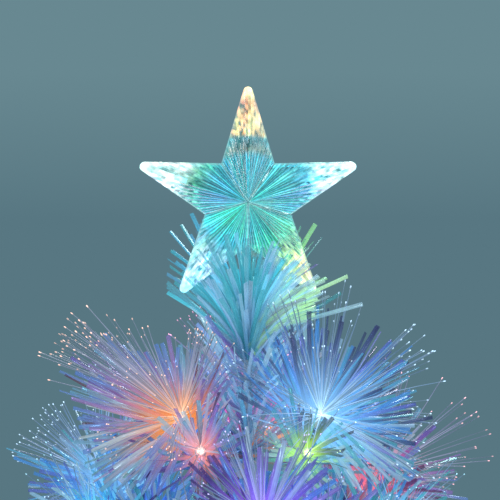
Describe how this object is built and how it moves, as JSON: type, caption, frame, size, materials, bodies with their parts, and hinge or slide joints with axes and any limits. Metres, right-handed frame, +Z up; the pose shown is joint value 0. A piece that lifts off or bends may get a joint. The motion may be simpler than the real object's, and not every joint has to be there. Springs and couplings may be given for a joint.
{
  "type": "artificial christmas tree",
  "caption": "Table-top artificial tree with folding branches of film strips and fibre-optic bursts, a lit star topper and a folding tripod stand.",
  "frame": {"origin": "on the floor, on the trunk's centre line", "axes": "+Z up along the trunk; -Y is the front, which the star faces; +X to the right as seen from the front"},
  "size_m": [0.4817, 0.4923, 0.8985],
  "materials": {
    "painted_steel": "satin",
    "ring_steel": "satin",
    "rod_steel": "satin",
    "foot_rubber": "matte",
    "collar_plastic": "matte",
    "lead_plastic": "satin",
    "iridescent_film": "gloss",
    "optical_fibre": "gloss",
    "star_plastic": "gloss",
    "light_board": "satin"
  },
  "bodies": {
    "stand": {"stand_hub": "painted_steel"},
    "leg_1": {"leg_1": "painted_steel", "foot_1": "foot_rubber"},
    "leg_2": {"leg_2": "painted_steel", "foot_2": "foot_rubber"},
    "leg_3": {"leg_3": "painted_steel", "foot_3": "foot_rubber"},
    "thumb_screw": {"thumb_screw": "painted_steel"},
    "trunk": {"pole_lower": "painted_steel", "pole_upper": "painted_steel", "trunk_lead": "lead_plastic", "leader_film": "iridescent_film", "collar_1": "collar_plastic", "collar_2": "collar_plastic", "collar_3": "collar_plastic", "collar_4": "collar_plastic", "ring_wire_1": "ring_steel", "ring_wire_2": "ring_steel", "ring_wire_3": "ring_steel", "ring_wire_4": "ring_steel"},
    "branch_1_1": {"branch_1_1_rod": "rod_steel", "branch_1_1_film": "iridescent_film", "branch_1_1_lights": "optical_fibre"},
    "branch_1_2": {"branch_1_2_rod": "rod_steel", "branch_1_2_film": "iridescent_film", "branch_1_2_lights": "optical_fibre"},
    "branch_1_3": {"branch_1_3_rod": "rod_steel", "branch_1_3_film": "iridescent_film", "branch_1_3_lights": "optical_fibre"},
    "branch_2_1": {"branch_2_1_rod": "rod_steel", "branch_2_1_film": "iridescent_film", "branch_2_1_lights": "optical_fibre"},
    "branch_2_2": {"branch_2_2_rod": "rod_steel", "branch_2_2_film": "iridescent_film", "branch_2_2_lights": "optical_fibre"},
    "branch_2_3": {"branch_2_3_rod": "rod_steel", "branch_2_3_film": "iridescent_film", "branch_2_3_lights": "optical_fibre"},
    "branch_3_1": {"branch_3_1_rod": "rod_steel", "branch_3_1_film": "iridescent_film", "branch_3_1_lights": "optical_fibre"},
    "branch_3_2": {"branch_3_2_rod": "rod_steel", "branch_3_2_film": "iridescent_film", "branch_3_2_lights": "optical_fibre"},
    "branch_3_3": {"branch_3_3_rod": "rod_steel", "branch_3_3_film": "iridescent_film", "branch_3_3_lights": "optical_fibre"},
    "branch_4_1": {"branch_4_1_rod": "rod_steel", "branch_4_1_film": "iridescent_film", "branch_4_1_lights": "optical_fibre"},
    "branch_4_2": {"branch_4_2_rod": "rod_steel", "branch_4_2_film": "iridescent_film", "branch_4_2_lights": "optical_fibre"},
    "branch_4_3": {"branch_4_3_rod": "rod_steel", "branch_4_3_film": "iridescent_film", "branch_4_3_lights": "optical_fibre"},
    "socket": {"star_socket": "star_plastic"},
    "star": {"star_front_shell": "star_plastic", "star_rear_shell": "star_plastic", "star_light_board": "light_board"}
  },
  "joints": [
    {"name": "leg_1_fold", "type": "hinge", "parent": "stand", "child": "leg_1", "pos_m": [0, 0.0191, 0.05], "axis": [-1, 0, 0], "range_deg": [0, 75]},
    {"name": "leg_2_fold", "type": "hinge", "parent": "stand", "child": "leg_2", "pos_m": [-0.01654, -0.00955, 0.05], "axis": [0.5, -0.866, 0], "range_deg": [0, 75]},
    {"name": "leg_3_fold", "type": "hinge", "parent": "stand", "child": "leg_3", "pos_m": [0.01654, -0.00955, 0.05], "axis": [0.5, 0.866, 0], "range_deg": [0, 75]},
    {"name": "thumb_screw_turn", "type": "hinge", "parent": "stand", "child": "thumb_screw", "pos_m": [0.01732, -0.01, 0.1], "axis": [0.866, -0.5, 0], "range_deg": [0, 720]},
    {"name": "trunk_lift", "type": "slide", "parent": "stand", "child": "trunk", "axis": [0, 0, 1], "range_m": [0, 0.077]},
    {"name": "branch_1_1_fold", "type": "hinge", "parent": "trunk", "child": "branch_1_1", "pos_m": [0.01269, -0.00592, 0.632], "axis": [-0.4226, -0.9063, 0], "range_deg": [0, 24], "deforming": ["branch_1_1_film", "branch_1_1_lights", "leader_film"]},
    {"name": "branch_1_2_fold", "type": "hinge", "parent": "trunk", "child": "branch_1_2", "pos_m": [-0.00122, 0.01395, 0.632], "axis": [0.9962, 0.0872, 0], "range_deg": [0, 24], "deforming": ["branch_1_2_film", "branch_1_2_lights"]},
    {"name": "branch_1_3_fold", "type": "hinge", "parent": "trunk", "child": "branch_1_3", "pos_m": [-0.01147, -0.00803, 0.632], "axis": [-0.5736, 0.8192, 0], "range_deg": [0, 24], "deforming": ["branch_1_3_film", "branch_1_3_lights"]},
    {"name": "branch_2_1_fold", "type": "hinge", "parent": "trunk", "child": "branch_2_1", "pos_m": [0.01147, 0.00803, 0.556], "axis": [0.5736, -0.8192, 0], "range_deg": [0, 40], "deforming": ["branch_2_1_film", "branch_2_1_lights"]},
    {"name": "branch_2_2_fold", "type": "hinge", "parent": "trunk", "child": "branch_2_2", "pos_m": [-0.01269, 0.00592, 0.556], "axis": [0.4226, 0.9063, 0], "range_deg": [0, 40], "deforming": ["branch_2_2_film", "branch_2_2_lights"]},
    {"name": "branch_2_3_fold", "type": "hinge", "parent": "trunk", "child": "branch_2_3", "pos_m": [0.00122, -0.01395, 0.556], "axis": [-0.9962, -0.0872, 0], "range_deg": [0, 40], "deforming": ["branch_2_3_film", "branch_2_3_lights"]},
    {"name": "branch_3_1_fold", "type": "hinge", "parent": "trunk", "child": "branch_3_1", "pos_m": [0.01352, -0.00362, 0.44], "axis": [-0.2588, -0.9659, 0], "range_deg": [0, 52], "deforming": ["branch_3_1_film", "branch_3_1_lights"]},
    {"name": "branch_3_2_fold", "type": "hinge", "parent": "trunk", "child": "branch_3_2", "pos_m": [-0.00362, 0.01352, 0.44], "axis": [0.9659, 0.2588, 0], "range_deg": [0, 52], "deforming": ["branch_3_2_film", "branch_3_2_lights"]},
    {"name": "branch_3_3_fold", "type": "hinge", "parent": "trunk", "child": "branch_3_3", "pos_m": [-0.0099, -0.0099, 0.44], "axis": [-0.7071, 0.7071, 0], "range_deg": [0, 52], "deforming": ["branch_3_3_film", "branch_3_3_lights"]},
    {"name": "branch_4_1_fold", "type": "hinge", "parent": "trunk", "child": "branch_4_1", "pos_m": [0.0099, 0.0099, 0.31], "axis": [0.7071, -0.7071, 0], "range_deg": [0, 60], "deforming": ["branch_4_1_film", "branch_4_1_lights"]},
    {"name": "branch_4_2_fold", "type": "hinge", "parent": "trunk", "child": "branch_4_2", "pos_m": [-0.01352, 0.00362, 0.31], "axis": [0.2588, 0.9659, 0], "range_deg": [0, 60], "deforming": ["branch_4_2_film", "branch_4_2_lights"]},
    {"name": "branch_4_3_fold", "type": "hinge", "parent": "trunk", "child": "branch_4_3", "pos_m": [0.00362, -0.01352, 0.31], "axis": [-0.9659, -0.2588, 0], "range_deg": [0, 60], "deforming": ["branch_4_3_film", "branch_4_3_lights"]},
    {"name": "socket_lift", "type": "slide", "parent": "trunk", "child": "socket", "axis": [0, 0, 1], "range_m": [0, 0.06]},
    {"name": "star_turn", "type": "hinge", "parent": "socket", "child": "star", "pos_m": [0, 0, 0.79], "axis": [0, 0, 1], "range_deg": [-170, 170]}
  ]
}
